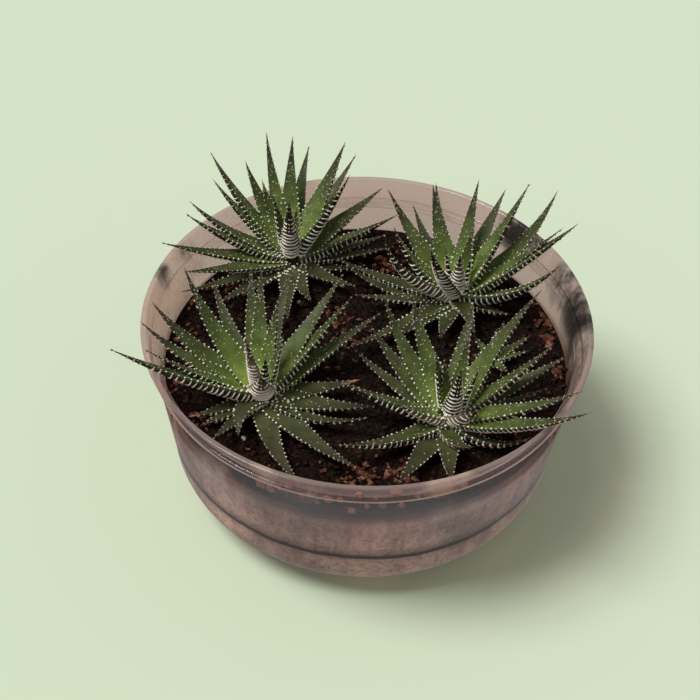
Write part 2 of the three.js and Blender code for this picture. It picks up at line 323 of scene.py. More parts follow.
def patched(tree, colour, cover, spots, tone, hold):
    """Lays ragged patches of a tone over the film. A spot is a place and a radius in mm."""
    place = object_place(tree)
    drawn_out = stretched(tree, place, PATCH_STRETCH)
    ragged = ramp(tree, speckle(tree, drawn_out, *PATCH_NOISE), PATCH_EDGES)
    for spot, radius in spots:
        away = add_node(tree, "ShaderNodeVectorMath", {
            0: place, 1: Vector(spot) * MM,
        }, operation="DISTANCE").outputs["Value"]
        far = math_node(tree, "DIVIDE", away, radius * MM)
        near = math_node(tree, "SUBTRACT", 1, far, clamp=True)
        near = math_node(tree, "MULTIPLY", near, PATCH_FILL, clamp=True)
        patch = math_node(tree, "MULTIPLY", near, ragged)
        colour = blended(tree, patch, colour, tone)
        cover = math_node(tree, "MAXIMUM", cover, math_node(tree, "MULTIPLY", patch, hold))
    return colour, cover


def stain(tree):
    """Dirt that darkens the film: fine mottle, runs down the wall and broad clouds."""
    place = object_place(tree)
    drawn_out = stretched(tree, place, RUN_STRETCH)
    mottle = ramp(tree, speckle(tree, place, *MOTTLE_NOISE), MOTTLE)
    runs = ramp(tree, speckle(tree, drawn_out, *RUN_NOISE), RUNS)
    clouds = ramp(tree, speckle(tree, place, *CLOUD_NOISE), CLOUDS)
    return shaded(tree, mottle, runs, clouds)


def glass_material():
    """Rose glass under a film. Ramps from foot to rim give the film's colour and cover, with
    painted shade and painted light in them.
    """
    material, tree, film = begin_material("smoked_rose_glass")
    place = object_place(tree)
    height = add_node(tree, "ShaderNodeSeparateXYZ", {"Vector": place}).outputs["Z"]
    share = math_node(tree, "DIVIDE", height, bowl_high.z)
    below_soil = ramp(tree, share, BELOW_SOIL)
    waver = math_node(tree, "SUBTRACT", speckle(tree, place, *TIDE_NOISE), 0.5)
    waver = math_node(tree, "MULTIPLY", math_node(tree, "MULTIPLY", waver, TIDE_WAVER), below_soil)
    level = math_node(tree, "DIVIDE", math_node(tree, "ADD", height, waver), bowl_high.z)
    # The ramps hold painted shade under the ring, a painted highlight on it and painted light
    # above.
    colour, cover = ramp(tree, level, FILM_AND_PAINTED_LIGHT_COLOURS), ramp(tree, level, FILM_AND_PAINTED_LIGHT_COVER)
    # Pale patches of painted light, where light falls on and through the wall.
    colour, cover = patched(tree, colour, cover, PAINTED_LIGHT_PATCHES, PAINTED_LIGHT_PATCH_COLOUR, PAINTED_LIGHT_PATCH_COVER)
    colour = blended(tree, below_soil, colour, shaded(tree, colour, stain(tree)))
    colour, cover = patched(tree, colour, cover, SMUDGES, SMUDGE_COLOUR, SMUDGE_COVER)
    tree.links.new(colour, film.inputs["Base Color"])
    film.inputs["Roughness"].default_value = FILM_ROUGHNESS
    film.inputs["Specular IOR Level"].default_value = FILM_SHINE

    clear = add_node(tree, "ShaderNodeBsdfTransparent", {"Color": ROSE_TINT})
    backlit = add_node(tree, "ShaderNodeBsdfTranslucent", {"Color": colour})
    coat = mixed_shader(tree, ramp(tree, share, BACKLIT_SHARE), film, backlit)
    body = mixed_shader(tree, cover, clear, coat)
    gloss = add_node(tree, "ShaderNodeBsdfGlossy", {
        "Color": GLOSS_COLOUR, "Roughness": GLOSS_ROUGHNESS,
    })
    edge_on = add_node(tree, "ShaderNodeLayerWeight", {"Blend": 0.5}).outputs["Facing"]
    edge_on = math_node(tree, "POWER", edge_on, EDGE_SHARPNESS)
    edge_on = math_node(tree, "MULTIPLY", edge_on, EDGE_ON_GLOSS)
    shine = math_node(tree, "ADD", edge_on, FACE_ON_GLOSS)
    glazed = mixed_shader(tree, shine, body, gloss)
    tree.links.new(glazed.outputs[0], tree.nodes["Material Output"].inputs["Surface"])
    return material


ring_middle = (RING_BACK_RADIUS, RING_HEIGHT + RING_WIDTH / 2)
band_foot = (RING_BACK_RADIUS + BAND_FOOT_OUT, RING_HEIGHT + RING_WIDTH)
profile = [
    (0, 0),
    *side_line(0),
    *arc(ring_middle, RING_DEPTH, -RING_SWEEP, RING_SWEEP, 2 * ARC_STEPS),
    band_foot,
    *arc((RIM_RADIUS - LIP_ROUND, bowl_high.z - LIP_ROUND), LIP_ROUND, 0, 90, ARC_STEPS),
    *arc((RIM_RADIUS - WALL + LIP_ROUND, bowl_high.z - LIP_ROUND), LIP_ROUND, 90, 180, ARC_STEPS),
    (band_foot[0] - WALL, band_foot[1]),
    *reversed(side_line(WALL)),
    (0, WALL),
]
bowl = finished("smoked_bowl", turned(profile, ROUND_STEPS), glass_material())
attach(bowl, "root")
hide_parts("bowl")

# The drainage under the soil: pale brown gravel, a thin dark bed of charcoal, and a dish of
# grey grit, each poured in and lying against the wall. A bed has the size of its grains and
# the depth of the hollows between them, in millimetres, and the colours of its grains.
GAP = 0.3 * MM
GRAVEL_TOP = 31.5 * MM
CHARCOAL_TOP = 34.5 * MM
GRIT_EDGE_TOP = 60.5 * MM
GRIT_DISH_TOP = 43 * MM
GRIT_DISH_RADIUS = 78 * MM
GRAIN_STEP = 1.5 * MM
GRAIN_AROUND = 300
BEDS = {
    "gravel": (3.4, 0.9, (
        (0.0, (0.20, 0.13, 0.10)), (0.4, (0.42, 0.31, 0.26)), (0.7, (0.52, 0.44, 0.40)),
        (1.0, (0.30, 0.22, 0.18)),
    )),
    "charcoal": (2.6, 0.7, (
        (0.0, (0.014, 0.012, 0.012)), (0.6, (0.035, 0.030, 0.028)), (1.0, (0.075, 0.062, 0.056)),
    )),
    "grit": (2.0, 0.5, (
        (0.0, (0.20, 0.15, 0.14)), (0.5, (0.44, 0.37, 0.35)), (0.8, (0.56, 0.49, 0.46)),
        (1.0, (0.24, 0.18, 0.165)),
    )),
}
# Painted shade in the seams between the grains.
PAINTED_SEAM_SHADE = ((0.0, 0.25), (0.16, 1.0))
SEAM_BUMP = 0.5
SEAM_DEPTH = 0.4 * MM
DUST = ((0.3, 0.75), (0.7, 1.15))
DUST_NOISE = (900, 4)
GRAIN_ROUGHNESS = 0.9


def radius_at(line, height):
    """The side's radius at a height."""
    for (r0, z0), (r1, z1) in zip(line, line[1:]):
        if z0 <= height <= z1:
            return r0 + (r1 - r0) * (height - z0) / (z1 - z0)
    return line[-1][0]


def fill_side(bottom, top):
    """Evenly spaced points up the side of the fill, one gap clear of the wall."""
    line = side_line(WALL + GAP)
    count = max(1, round((top - bottom) / GRAIN_STEP))
    heights = [bottom + (top - bottom) * step / count for step in range(count + 1)]
    return [(radius_at(line, z), z) for z in heights]


def add_bump(tree, surface, height, strength, depth):
    """Raises a surface by a grey value, for its shading only."""
    bump = add_node(tree, "ShaderNodeBump", {
        "Height": height, "Strength": strength, "Distance": depth,
    })
    tree.links.new(bump.outputs[0], surface.inputs["Normal"])


def grain_material(name, size, colours):
    """Packed grains of mixed colour, with painted shade where they meet."""
    material, tree, surface = begin_material(name)
    place = object_place(tree)
    packed = {"Vector": place, "Scale": 1 / (size * MM)}
    cells = add_node(tree, "ShaderNodeTexVoronoi", packed).outputs["Color"]
    seams = add_node(
        tree, "ShaderNodeTexVoronoi", packed, feature="DISTANCE_TO_EDGE",
    ).outputs["Distance"]
    one_each = add_node(tree, "ShaderNodeSeparateColor", {"Color": cells}).outputs[0]
    dust = ramp(tree, speckle(tree, place, *DUST_NOISE), DUST)
    # Painted shade darkens the seams between the grains.
    tone = shaded(tree, ramp(tree, one_each, colours), ramp(tree, seams, PAINTED_SEAM_SHADE), dust)
    tree.links.new(tone, surface.inputs["Base Color"])
    add_bump(tree, surface, seams, SEAM_BUMP, SEAM_DEPTH)
    surface.inputs["Roughness"].default_value = GRAIN_ROUGHNESS
    return material


def lay_bed(name, node, profile, size, hollow, colours):
    """A layer of grains: a turned body whose side sinks a little between the grains."""
    bm = turned(profile, GRAIN_AROUND)
    for vertex in bm.verts:
        out = Vector((vertex.co.x, vertex.co.y, 0))
        if out.length > GRIT_DISH_RADIUS:
            near = noise.voronoi(vertex.co / (size * MM))[0][0]
            vertex.co -= out.normalized() * min(1, near) * hollow * MM
    piece = finished(name, bm, grain_material(name, size, colours))
    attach(piece, "root")
    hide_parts(node)


belly = [point for point in side_line(WALL + GAP) if point[1] < SHOULDER_HEIGHT - GRAIN_STEP]
gravel_profile = [
    (0, belly[0][1]), *belly, *fill_side(SHOULDER_HEIGHT, GRAVEL_TOP), (0, GRAVEL_TOP),
]
charcoal_profile = [
    (0, GRAVEL_TOP + GAP), *fill_side(GRAVEL_TOP + GAP, CHARCOAL_TOP), (0, CHARCOAL_TOP),
]
grit_profile = [
    (0, CHARCOAL_TOP + GAP), *fill_side(CHARCOAL_TOP + GAP, GRIT_EDGE_TOP),
    (GRIT_DISH_RADIUS, GRIT_DISH_TOP), (0, GRIT_DISH_TOP),
]
lay_bed("gravel_bed", "gravel_layer", gravel_profile, *BEDS["gravel"])
lay_bed("charcoal_bed", "charcoal_layer", charcoal_profile, *BEDS["charcoal"])
lay_bed("grit_bed", "grit_layer", grit_profile, *BEDS["grit"])

# The potting soil: nearly black damp peat, loose and crumbly on top, lower at the wall and
# dished into the grit below. Broad waves roughen its top, and so do three finer reliefs,
# each a size and a height in millimetres.
SOIL_EDGE = 64 * MM
SOIL_MIDDLE = 65.5 * MM
SOIL_REACH = 89 * MM
SOIL_RINGS = 90
SOIL_AROUND = 300
LUMP_HEIGHT = 0.7
WAVE_ACROSS = 0.21
WAVE_DEEP = 0.17
WAVE_SLANT = (0.09, -0.26)
SLANT_SHARE = 0.6
EDGE_CALM = 6
CRUMB_RELIEF = ((5.5, 1.1), (2.3, 0.9), (1.1, 0.4))
RELIEF_SLICE = 0.4
SOIL_COLOURS = (
    (0.38, (0.004, 0.0025, 0.002)), (0.52, (0.014, 0.008, 0.0055)), (0.66, (0.052, 0.028, 0.018)),
)
SOIL_GRAIN = 700
SOIL_ROUGHNESS = 0.95
EARTH_NOISE = (6, 0.7)
EARTH_FINENESS = 1300
EARTH_DEPTH = 0.9 * MM
EARTH_SHINE = 0.06


def soil_top(x, y):
    """Height of the soil in metres at a place in millimetres, without its crumbs."""
    share = min(1, math.hypot(x, y) * MM / SOIL_REACH)
    crossed = math.sin(WAVE_ACROSS * x) * math.cos(WAVE_DEEP * y)
    slanting = SLANT_SHARE * math.sin(WAVE_SLANT[0] * x + WAVE_SLANT[1] * y)
    lumps = LUMP_HEIGHT * MM * (crossed + slanting) * (1 - share ** EDGE_CALM)
    return SOIL_MIDDLE - (SOIL_MIDDLE - SOIL_EDGE) * share ** 2 + lumps


def earth_material(name, colours, grain, roughness):
    """Damp crumbly stuff of mixed colour."""
    material, tree, surface = begin_material(name)
    place = object_place(tree)
    tone = ramp(tree, speckle(tree, place, grain, *EARTH_NOISE), colours)
    tree.links.new(tone, surface.inputs["Base Color"])
    add_bump(tree, surface, speckle(tree, place, EARTH_FINENESS, *EARTH_NOISE), 1, EARTH_DEPTH)
    surface.inputs["Roughness"].default_value = roughness
    surface.inputs["Specular IOR Level"].default_value = EARTH_SHINE
    return material


soil_profile = [
    (0, GRIT_DISH_TOP + GAP),
    (GRIT_DISH_RADIUS - GAP, GRIT_DISH_TOP + GAP),
    *fill_side(GRIT_EDGE_TOP + 2 * GAP, SOIL_EDGE),
    *((SOIL_REACH * (1 - ring / SOIL_RINGS), SOIL_MIDDLE) for ring in range(SOIL_RINGS + 1)),
]
bm = turned(soil_profile, SOIL_AROUND)
for vertex in bm.verts:
    if vertex.co.z > SOIL_MIDDLE - MERGE:
        x, y = vertex.co.x / MM, vertex.co.y / MM
        rough = sum(
            relief * noise.noise(Vector((x / size, y / size, RELIEF_SLICE)))
            for size, relief in CRUMB_RELIEF
        )
        vertex.co.z = soil_top(x, y) + rough * MM
damp_soil = earth_material("damp_soil", SOIL_COLOURS, SOIL_GRAIN, SOIL_ROUGHNESS)
soil = finished("soil_bed", bm, damp_soil)
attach(soil, "root")
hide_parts("potting_soil")

# What lies loose on the soil: crumbs of it, shreds of red-brown bark in heaps (a place, a
# spread and a count) and a few white grains. Dry bits stick to the inside of the wall (an
# angle, a height and a size). All are in millimetres and degrees.
BARK_COLOURS = (
    (0.34, (0.038, 0.012, 0.007)), (0.5, (0.150, 0.055, 0.032)), (0.68, (0.50, 0.26, 0.165)),
)
DRY_BARK_COLOURS = (
    (0.3, (0.40, 0.21, 0.14)), (0.5, (0.62, 0.36, 0.25)), (0.72, (0.80, 0.55, 0.42)),
)
BARK_GRAIN = 420
CRUMB_COLOURS = (
    (0.36, (0.005, 0.003, 0.002)), (0.52, (0.022, 0.011, 0.007)), (0.70, (0.13, 0.054, 0.033)),
)
CRUMB_GRAIN = 260
WHITE_COLOURS = ((0.3, (0.45, 0.36, 0.27)), (0.7, (0.72, 0.66, 0.56)))
WHITE_GRAIN = 500
LOOSE_ROUGHNESS = 0.85
BARK_HEAPS = (
    (83, 42, 5, 22), (83, 28, 5, 26), (84, 18, 5, 20), (88, -4, 4, 26), (0, -71, 8, 40),
    (7, 62, 6, 24), (-83, 11, 6, 18), (-83, 32, 5, 16), (-61, 44, 7, 18), (-8, 16, 10, 30),
    (-17, 24, 8, 16), (17, -68, 8, 24), (59, -48, 9, 12), (69, -30, 8, 14), (-82, -24, 4, 18),
    (-71, -44, 6, 18), (27, -17, 10, 8), (-15, 0, 14, 14), (0, 0, 84, 70),
)
WALL_BITS = (
    (-117, 69, 2.2), (-109, 75, 1.6), (-114, 68, 1.8), (-98, 72, 1.9), (-95, 73, 1.5),
    (-84, 70, 1.5), (-105, 71, 1.4), (-75, 75, 1.4), (-81, 83, 2.0), (-90, 82, 1.6),
    (-86, 76, 1.3), (-101, 69, 1.2), (-88, 69, 1.2), (-111, 71, 1.2), (-92, 66, 1.8),
    (-79, 69, 1.3), (-70, 72, 1.2), (-62, 74, 1.3),
)
BIT_SHAPE = (0.5, 1.1, 1.0)
BIT_INSET = 0.5 * MM
BAND_INSET = 1.4 * WALL
COARSE_BENDS = 1.3
FINE_BENDS = 3.1
TUMBLE = 0.7
SHRED_KINDS = 5
SHRED_ROUGHEN = 0.55
SHRED_REACH = 89
SHRED_SIZE = (0.45, 1.1)
SHRED_LIFT = (0.4, 1.1)
SHRED_SHAPE = ((1.0, 1.8), (0.6, 1.0), (0.35, 0.7))
CHIP_CHANCE = 0.18
CHIP_TIMES = 1.9
CRUMB_KINDS = 6
CRUMB_ROUGHEN = 0.9
CRUMB_COUNT = 2350
CRUMB_REACH = 89.5
CRUMB_CROWDING = 0.42
CRUMB_SMALLEST = 0.32
CRUMB_SPREAD = 1.4
CRUMB_LIFT = 0.4
CRUMB_SHAPE = (1.2, 0.9, 0.7)
WHITE_COUNT = 26
WHITE_REACH = 86
WHITE_LIFT = 0.8
WHITE_SIZE = (0.5, 0.9)
WHITE_SHAPE = (1.2, 1, 0.8)
EVENLY = 0.5


def kept(bm):
    """Turns the bmesh into a mesh, with its corners kept for placing copies of it."""
    for face in bm.faces:
        face.smooth = True
    mesh = bpy.data.meshes.new("kept")
    bm.to_mesh(mesh)
    bm.free()
    return mesh, [vertex.co.copy() for vertex in mesh.vertices]


def template(subdivisions, roughen, seed):
    """A small round lump, made uneven."""
    bm = bmesh.new()
    bmesh.ops.create_icosphere(bm, subdivisions=subdivisions, radius=1)
    for vertex in bm.verts:
        vertex.co *= 1 + roughen * noise.noise(vertex.co * COARSE_BENDS + Vector((seed, 0, 0)))
        vertex.co *= 1 + roughen * noise.noise(vertex.co * FINE_BENDS + Vector((0, seed, 0)))
    return kept(bm)


def add_copy(heap, lump, matrix):
    """Adds a copy of the lump to the heap, placed by the matrix."""
    mesh, corners = lump
    for vertex, corner in zip(mesh.vertices, corners):
        vertex.co = matrix @ corner
    heap.from_mesh(mesh)


def tumbled(dice, spot, size, shape):
    """A matrix that drops a lump of a size in millimetres at a spot, turned any way."""
    turn = Matrix.Rotation(dice.uniform(0, math.tau), 4, "Z")
    tilt = Matrix.Rotation(dice.uniform(-TUMBLE, TUMBLE), 4, "X")
    stretch = Matrix.Diagonal((*(size * MM * share for share in shape), 1))
    return Matrix.Translation(spot) @ (turn @ tilt) @ stretch


def scattered(dice, reach, crowding, middle=(0, 0)):
    """A place within reach of a middle. A crowding below EVENLY pushes places outwards."""
    away = reach * dice.random() ** crowding
    heading = dice.uniform(0, math.tau)
    return middle[0] + away * math.cos(heading), middle[1] + away * math.sin(heading)


def on_soil(x, y, lift):
    """The spot that lies a lift above the soil. All three are in millimetres."""
    return Vector((x * MM, y * MM, soil_top(x, y) + lift * MM))


def inside_wall(height):
    """The inner face's radius at a height."""
    if height < RING_HEIGHT:
        return radius_at(side_line(WALL), height)
    return RIM_RADIUS - BAND_INSET


dice = random.Random(17)
bark, crumbs, whites, stuck = (bmesh.new() for _ in range(4))
shreds = [template(2, SHRED_ROUGHEN, seed) for seed in range(SHRED_KINDS)]
lumps = [template(2, CRUMB_ROUGHEN, seed) for seed in range(CRUMB_KINDS)]
for *middle, spread, count in BARK_HEAPS:
    for _ in range(count):
        x, y = scattered(dice, spread, EVENLY, middle)
        if math.hypot(x, y) < SHRED_REACH:
            size = dice.uniform(*SHRED_SIZE) * (CHIP_TIMES if dice.random() < CHIP_CHANCE else 1)
            spot = on_soil(x, y, dice.uniform(*SHRED_LIFT))
            shape = [dice.uniform(*span) for span in SHRED_SHAPE]
            add_copy(bark, dice.choice(shreds), tumbled(dice, spot, size, shape))
for _ in range(CRUMB_COUNT):
    x, y = scattered(dice, CRUMB_REACH, CRUMB_CROWDING)
    size = CRUMB_SMALLEST + CRUMB_SPREAD * dice.random() ** 3
    spot = on_soil(x, y, CRUMB_LIFT * size)
    add_copy(crumbs, dice.choice(lumps), tumbled(dice, spot, size, CRUMB_SHAPE))
for _ in range(WHITE_COUNT):
    spot = on_soil(*scattered(dice, WHITE_REACH, EVENLY), WHITE_LIFT)
    lump, size = dice.choice(lumps), dice.uniform(*WHITE_SIZE)
    add_copy(whites, lump, tumbled(dice, spot, size, WHITE_SHAPE))
for angle, height, size in WALL_BITS:
    turn = math.radians(angle)
    away = inside_wall(height * MM) - BIT_INSET
    spot = Vector((away * math.cos(turn), away * math.sin(turn), height * MM))
    flat = Matrix.Rotation(turn, 4, "Z") @ Matrix.Diagonal((*BIT_SHAPE, 1))
    rolled = flat @ Matrix.Rotation(size, 4, "X")
    placed = Matrix.Translation(spot) @ rolled @ Matrix.Scale(size * MM, 4)
    add_copy(stuck, dice.choice(shreds), placed)
for name, heap, colours, grain in (
    ("bark_shreds", bark, BARK_COLOURS, BARK_GRAIN),
    ("soil_crumbs", crumbs, CRUMB_COLOURS, CRUMB_GRAIN),
    ("white_grains", whites, WHITE_COLOURS, WHITE_GRAIN),
    ("wall_bits", stuck, DRY_BARK_COLOURS, BARK_GRAIN),
):
    piece = finished(name, heap, earth_material(name, colours, grain, LOOSE_ROUGHNESS))
    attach(piece, "root")

# The plants, in millimetres and degrees: a stem's place, radius and top, the youngest leaf's
# turn, then the leaves. A tier gives lift and curl, and a leaf in it turn, reach, width, roll
# and bow. Leaves that bend their own way have turn, lift, reach, curl, sway, width and roll.
TIERS = {
    "inner": (76, 5),
    "steep": (62, 12),
    "upper": (48, 20),
    "middle": (32, 20),
    "outer": (18, 15),
    "low": (4, 20),
}
LEAN = 12
PLANTS = {
    "rosette_front_left": ((-44.5, -33, 6.2, 80), 20, {
        "inner": ((-115, 38, 9),),
        "steep": ((72, 40, 11, -30), (-85, 20, 14)),
        "upper": ((142, 62, 14, 0, 15), (93, 54, 11)),
        "middle": (
            (-172, 55, 10, 20), (171, 60, 13, 5, 15), (157, 60, 16, 5, 15), (99, 57, 13),
            (52, 62, 13, -5), (40, 56, 15, -30),
        ),
        "outer": ((116, 62, 12), (81, 63, 12), (34, 63, 13, -5)),
        "low": (
            (172, 34, 11, 20), (-8, 49, 15, -5), (12, 42, 14), (-45, 60, 14), (-138, 32, 12, 15),
            (-150, 33, 11, 10), (-122, 33, 10),
        ),
    }, (
        (-172, 27, 69, 5, -20, 16, 28), (-16, 6, 50, 30, 45, 11, -20), (-68, 2, 54, 20, 30, 13, 0),
        (-105, 0, 28, -60, 60, 13, 10),
    )),
    "rosette_front_right": ((37.5, -42.5, 6.2, 80), -10, {
        "inner": ((-81, 37, 10), (61, 37, 9), (150, 31, 9)),
        "upper": ((120, 54, 13, -5), (-45, 20, 15, -20)),
        "middle": (
            (126, 60, 13, 0, 20), (78, 51, 13), (23, 53, 15, -30), (-28, 70, 14, -5, 10),
            (-160, 27, 14, 20), (-14, 61, 14, -10),
        ),
        "outer": ((133, 54, 14, 0, 10), (25, 56, 13), (175, 52, 16, 30)),
        "low": ((139, 56, 11), (-89, 37, 14), (-118, 45, 14, -10), (23, 45, 10, -15)),
    }, (
        (49, 32, 66, 5, -20, 16, -25), (-153, 9, 55, 30, -15, 15, 25),
        (-16, 5, 38, 25, 85, 12, -30), (-60, 12, 25, 30, 110, 15, -20),
    )),
    "rosette_back_left": ((-37.5, 57, 6.2, 80), 150, {
        "inner": ((-90, 40, 11),),
        "steep": ((5, 52, 12, -35),),
        "upper": (
            (155, 60, 16, 25), (171, 52, 12, 10), (133, 47, 13), (125, 36, 11), (110, 57, 11),
            (92, 54, 13), (54, 57, 16, -10),
        ),
        "middle": (
            (176, 54, 16, 20, 15), (-172, 55, 14, 15, 10), (83, 54, 13, 0, -10), (55, 57, 11),
        ),
        "outer": ((-144, 59, 12), (39, 55, 15), (17, 53, 16, -25)),
        "low": (
            (-148, 57, 10), (21, 48, 13, -10), (-70, 32, 12), (-125, 33, 12), (10, 48, 11, -10),
            (-32, 36, 11), (-131, 47, 12), (-88, 43, 12),
        ),
    }, (
        (-161, 21, 64, 20, 5, 13, 5), (-2, 0, 34, 30, 20, 12, -15),
    )),
    "rosette_back_right": ((41, 35.5, 6.2, 80), 60, {
        "inner": ((-94, 29, 9),),
        "steep": ((-130, 44, 13),),
        "upper": (
            (112, 49, 15), (77, 51, 12), (42, 58, 15, -30), (168, 44, 16, 20, 25),
            (-166, 51, 15, 35, 40),
        ),
        "middle": ((132, 56, 15), (63, 54, 14), (18, 56, 10, -15), (15, 63, 16, -25)),
        "outer": ((123, 63, 10), (115, 51, 12), (100, 61, 14)),
        "low": (
            (161, 61, 14, 15), (-27, 26, 11, -20), (-140, 66, 11, 10), (-104, 30, 12),
            (-174, 47, 12, 10), (-132, 42, 12),
        ),
    }, (
        (37, 36, 66, 45, 20, 14, -5), (0, 27, 51, 35, 45, 15, -30), (-75, 5, 29, -50, 0, 12, 0),
        (165, 8, 56, 45, -30, 12, 10),
    )),
    "offset_right": ((57, -1, 3.6, 75), None, {
        "steep": ((60, 15, 6),),
        "middle": ((80, 13, 6), (140, 12, 6), (-150, 12, 6)),
        "outer": ((30, 20, 7, -10), (5, 17, 7, -20), (-60, 13, 6)),
    }, ()),
}
DRY_LEAVES = {
    "rosette_front_left": (16, 19), "rosette_front_right": (20,), "rosette_back_left": (5,),
    "rosette_back_right": (), "offset_right": (),
}
BOLD_LEAVES = {
    "rosette_front_left": {0: 1.7, 2: 1.6, 24: 1.3},
    "rosette_front_right": {4: 1.5, 9: 1.3, 21: 1.5},
    "rosette_back_left": {0: 1.15},
    "rosette_back_right": {0: 1.6, 1: 1.1, 6: 1.2, 22: 1.5},
    "offset_right": {},
}
PALE_FOR_BOLD = 1.2

# The leaves: thick and pointed, with a keel below, brightest near the heart, and dull with
# brown tips when old. A leaf is a row of sections along a bent line. Its points carry marks
# that its colours are mixed by.
GOLDEN_ANGLE = 137.5
YOUNGEST_LEAVES = 3
YOUNGEST_LIFT = 74
YOUNGEST_REACH = 29
YOUNGEST_WIDTH = 9
YOUNGEST_STEP = 4
STEM_FOOT = 47
STEM_FOOT_SHARE = 0.7
STEM_FOOT_TAPER = 8
STEM_TOP_SHARE = 0.4
STEM_TOP_TAPER = 7
STEM_SIDES = 20
ROOT_SPAN = 8
ROOT_OUT = 0.4
KEEL_DEPTH = 0.42
KEEL_ROUND = 0.56
EDGE_TURN_UP = 0.12
TAPER = 1.15
FULLNESS = 0.35
BASE_WIDTH_SHARE = 0.8
WIDEST_AT = 1 / 6
STATIONS = 26
POINT_PLACE = 0.9999
LEAF_SIDES = 16
UNDER_FROM = 0.01
UNDER_SHARPNESS = 2.5
OLD_BELOW = 46
OFFSET_AGE = 0.3
STEM_MARKS = {"along": 0.1, "under": 1, "age": 1, "dry": 0, "pale": 0}
YOUNG_COLOURS = (
    (0.0, (0.350, 0.425, 0.080)), (0.12, (0.235, 0.312, 0.058)), (0.30, (0.120, 0.166, 0.033)),
    (0.60, (0.070, 0.092, 0.022)), (0.85, (0.043, 0.043, 0.017)), (1.0, (0.030, 0.021, 0.013)),
)
OLD_COLOURS = (
    (0.0, (0.090, 0.104, 0.031)), (0.25, (0.057, 0.062, 0.021)), (0.7, (0.044, 0.042, 0.018)),
    (1.0, (0.028, 0.019, 0.013)),
)
UNDER_COLOURS = (
    (0.0, (0.070, 0.064, 0.028)), (0.10, (0.020, 0.019, 0.010)), (0.6, (0.020, 0.019, 0.010)),
    (1.0, (0.020, 0.014, 0.010)),
)
UNDER_COVER = 0.95
CLAW_COLOURS = ((0.0, (0.52, 0.42, 0.29)), (0.45, (0.30, 0.23, 0.15)), (0.8, (0.06, 0.045, 0.028)))
BLOTCHES = ((0.3, 0.64), (0.7, 1.3))
BLOTCH_NOISE = (160, 4)
SKIN_GRAIN = ((0.3, 0.86), (0.7, 1.12))
SKIN_NOISE = (1500, 3)
WITHERED_PART = ((0.82, 0.0), (0.92, 1.0))
WITHERED_COLOUR = (0.33, 0.15, 0.07, 1)
PORE_SCALE = 2600
PORE_BUMP = 0.25
PORE_DEPTH = 0.15 * MM
SKIN_ROUGHNESS = ((0.3, 0.45), (0.7, 0.65))
ROUGHNESS_NOISE = (300, 3)
SKIN_SHINE = 0.25

Station = namedtuple("Station", "spot forward across above half depth")


def leaf_rows(youngest, tiers, bowed):
    """A plant's leaves as full rows. Tier leaves lean sideways, towards +X, as they grow out."""
    rows = []
    for tier, leaves in tiers.items():
        lift, curl = TIERS[tier]
        for turn, reach, width, *rest in leaves:
            roll, bow = (*rest, 0, 0)[:2]
            sway = -LEAN * math.sin(math.radians(turn))
            rows.append((turn, lift, reach, curl + bow, sway, width, roll))
    rows.extend(bowed)
    for number in range(0 if youngest is None else YOUNGEST_LEAVES):
        rows.append((
            youngest + GOLDEN_ANGLE * number, YOUNGEST_LIFT + YOUNGEST_STEP * number,
            YOUNGEST_REACH - YOUNGEST_STEP * number, 0, 0, YOUNGEST_WIDTH - number, 0,
        ))
    return rows


def leaf_line(stem, row):
    """A leaf's sections from its root to its point, in millimetres."""
    x, y, radius, top = stem
    turn, lift, reach, curl, sway, width, roll = row
    heading = math.radians(turn)
    spot = Vector((
        x + ROOT_OUT * radius * math.cos(heading),
        y + ROOT_OUT * radius * math.sin(heading),
        top - ROOT_SPAN * (1 - max(0, lift) / 90),
    ))
    line = []
    for station in range(STATIONS + 1):
        along = station / STATIONS
        rise = math.radians(lift + curl * (along - 0.5))
        bearing = math.radians(turn + sway * (along - 0.5))
        forward = Vector((
            math.cos(rise) * math.cos(bearing), math.cos(rise) * math.sin(bearing), math.sin(rise),
        ))
        level = Vector((-math.sin(bearing), math.cos(bearing), 0))
        across = Matrix.Rotation(math.radians(roll), 3, forward) @ level
        swell = BASE_WIDTH_SHARE + (1 - BASE_WIDTH_SHARE) * min(1, along / WIDEST_AT)
        slimmer = (1 - along) ** TAPER * (1 + FULLNESS * along)
        half = width / 2 * slimmer * swell
        depth = width * KEEL_DEPTH * slimmer
        line.append(Station(spot.copy(), forward, across, forward.cross(across), half, depth))
        spot += forward * reach / STATIONS
    return line


def section_rise(half, depth, side, under):
    """How far a section's skin lies above the leaf's line at a share of its half width."""
    if under:
        return EDGE_TURN_UP * half - depth * max(0, 1 - side * side) ** KEEL_ROUND
    return EDGE_TURN_UP * half * side * side


def skin_point(line, along, side, under):
    """A point on the leaf's skin, at a share of its length and of its half width."""
    place = max(0, min(along, POINT_PLACE)) * STATIONS
    low, high = line[int(place)], line[int(place) + 1]
    share = place - int(place)
    spot = low.spot.lerp(high.spot, share)
    half = low.half + (high.half - low.half) * share
    depth = low.depth + (high.depth - low.depth) * share
    return spot + low.across * side * half + low.above * section_rise(half, depth, side, under)


